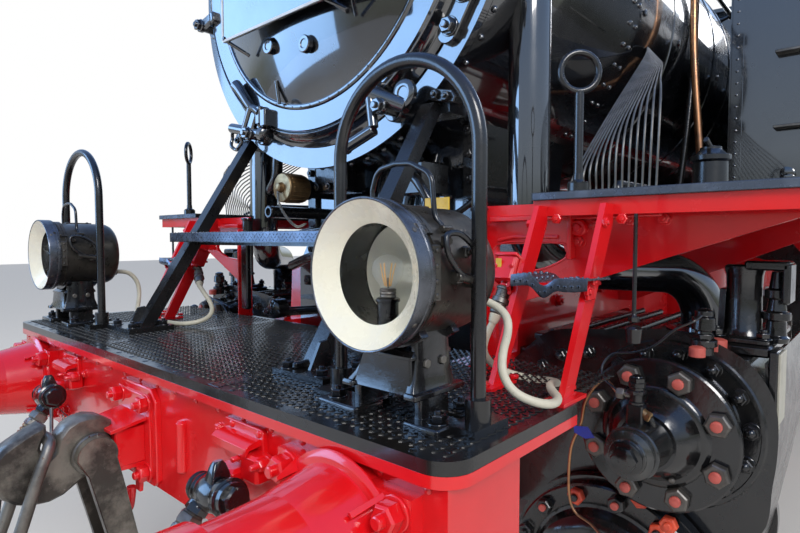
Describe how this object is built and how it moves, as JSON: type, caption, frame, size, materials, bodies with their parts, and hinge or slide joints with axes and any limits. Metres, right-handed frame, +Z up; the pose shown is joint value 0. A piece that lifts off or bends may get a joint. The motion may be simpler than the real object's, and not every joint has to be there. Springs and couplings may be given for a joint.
{
  "type": "six-coupled side-tank steam locomotive",
  "caption": "Standard-gauge side-tank steam shunting locomotive with coupled spoked wheels, outside cylinders, hinged smokebox door, cab and coal bunker.",
  "frame": {"origin": "on the centre line, halfway between the buffer heads, at the height of the flanges' lowest points, 28 mm below the rail head", "axes": "+X towards the smokebox end, +Y to the locomotive's left, +Z up"},
  "size_m": [9.67, 3.13, 4.1928],
  "materials": {
    "black_gloss": "gloss black enamel",
    "red_gloss": "gloss red enamel",
    "black_satin": "satin black, handled and dusty",
    "machined_steel": "bright machined steel with a film of oil",
    "tyre_steel": "rolled steel, polished on the tread",
    "cast_iron": "dark cast iron",
    "lamp_metal": "tarnished dark grey metal",
    "hose_rubber": "matt black rubber",
    "cable_sheath": "cream corrugated sheath",
    "clear_glass": "clear glass"
  },
  "bodies": {
    "engine": {"air_pump": "cast_iron", "axleboxes": "cast_iron", "backhead_fittings": "cast_iron", "boiler": "black_gloss", "boiler_mountings": "black_gloss", "brake_cocks": "cast_iron", "brake_gear": "cast_iron", "brake_hose_left": "hose_rubber", "brake_hose_right": "hose_rubber", "buffer_beams": "red_gloss", "buffer_heads": "black_satin", "buffer_housings": "red_gloss", "cab_end_walls": "black_gloss", "cab_floor": "black_satin", "cab_roof": "black_gloss", "cab_sides": "black_gloss", "cable_boxes": "cast_iron", "chimney": "black_gloss", "coal_bunker": "black_satin", "couplings": "cast_iron", "crossheads": "machined_steel", "cylinder_covers": "black_gloss", "cylinders": "black_gloss", "frame_cross_members": "red_gloss", "frame_plates": "red_gloss", "front_platform": "black_satin", "front_struts": "black_satin", "handrails": "black_satin", "lamp_bodies": "lamp_metal", "lamp_cable_left": "cable_sheath", "lamp_cable_right": "cable_sheath", "lamp_glasses": "clear_glass", "lamp_stands": "black_satin", "main_rods": "machined_steel", "running_boards": "black_satin", "side_tanks": "black_gloss", "slide_bars": "cast_iron", "smokebox": "black_gloss", "smokebox_door_fittings": "black_gloss", "steam_pipes": "black_gloss", "step_plate": "black_satin", "steps": "red_gloss", "valances": "red_gloss", "valve_gear": "machined_steel"},
    "wheelset_front": {"wheels_front": "red_gloss", "tyres_front": "tyre_steel"},
    "wheelset_middle": {"wheels_middle": "red_gloss", "tyres_middle": "tyre_steel"},
    "wheelset_driven": {"wheels_driven": "red_gloss", "tyres_driven": "tyre_steel"},
    "coupling_rod_left": {"coupling_rod_left": "machined_steel"},
    "coupling_rod_right": {"coupling_rod_right": "machined_steel"},
    "smokebox_door": {"smokebox_door": "black_gloss"},
    "cab_door_left": {"cab_door_left": "black_gloss"},
    "cab_door_right": {"cab_door_right": "black_gloss"},
    "tank_lid_left": {"tank_lid_left": "black_gloss"},
    "tank_lid_right": {"tank_lid_right": "black_gloss"}
  },
  "joints": [
    {"name": "driven_wheels_turn", "type": "hinge", "parent": "engine", "child": "wheelset_driven", "pos_m": [-1.435, 0, 0.578], "axis": [0, 1, 0], "continuous": true},
    {"name": "middle_wheels_turn", "type": "hinge", "parent": "engine", "child": "wheelset_middle", "pos_m": [0.165, 0, 0.578], "axis": [0, 1, 0], "continuous": true},
    {"name": "front_wheels_turn", "type": "hinge", "parent": "engine", "child": "wheelset_front", "pos_m": [1.765, 0, 0.578], "axis": [0, 1, 0], "continuous": true},
    {"name": "coupling_rod_left_pin", "type": "hinge", "parent": "wheelset_driven", "child": "coupling_rod_left", "pos_m": [-1.435, 0.89, 0.303], "axis": [0, 1, 0], "continuous": true},
    {"name": "coupling_rod_right_pin", "type": "hinge", "parent": "wheelset_driven", "child": "coupling_rod_right", "pos_m": [-1.71, -0.89, 0.578], "axis": [0, 1, 0], "continuous": true},
    {"name": "smokebox_door_hinge", "type": "hinge", "parent": "engine", "child": "smokebox_door", "pos_m": [3.582, 0.752, 2.698], "axis": [0, 0, 1], "range_deg": [0, 110]},
    {"name": "cab_door_left_hinge", "type": "hinge", "parent": "engine", "child": "cab_door_left", "pos_m": [-2.85, 1.454, 2.322], "axis": [0, 0, -1], "range_deg": [0, 90]},
    {"name": "cab_door_right_hinge", "type": "hinge", "parent": "engine", "child": "cab_door_right", "pos_m": [-2.85, -1.454, 2.322], "axis": [0, 0, 1], "range_deg": [0, 90]},
    {"name": "tank_lid_left_hinge", "type": "hinge", "parent": "engine", "child": "tank_lid_left", "pos_m": [0.9, 1.084, 3.11], "axis": [1, 0, 0], "range_deg": [0, 110]},
    {"name": "tank_lid_right_hinge", "type": "hinge", "parent": "engine", "child": "tank_lid_right", "pos_m": [0.9, -1.084, 3.11], "axis": [-1, 0, 0], "range_deg": [0, 110]}
  ],
  "couplings": [
    {"joint": "middle_wheels_turn", "follows": "driven_wheels_turn", "ratio": 1},
    {"joint": "front_wheels_turn", "follows": "driven_wheels_turn", "ratio": 1},
    {"joint": "coupling_rod_left_pin", "follows": "driven_wheels_turn", "ratio": -1},
    {"joint": "coupling_rod_right_pin", "follows": "driven_wheels_turn", "ratio": -1}
  ]
}
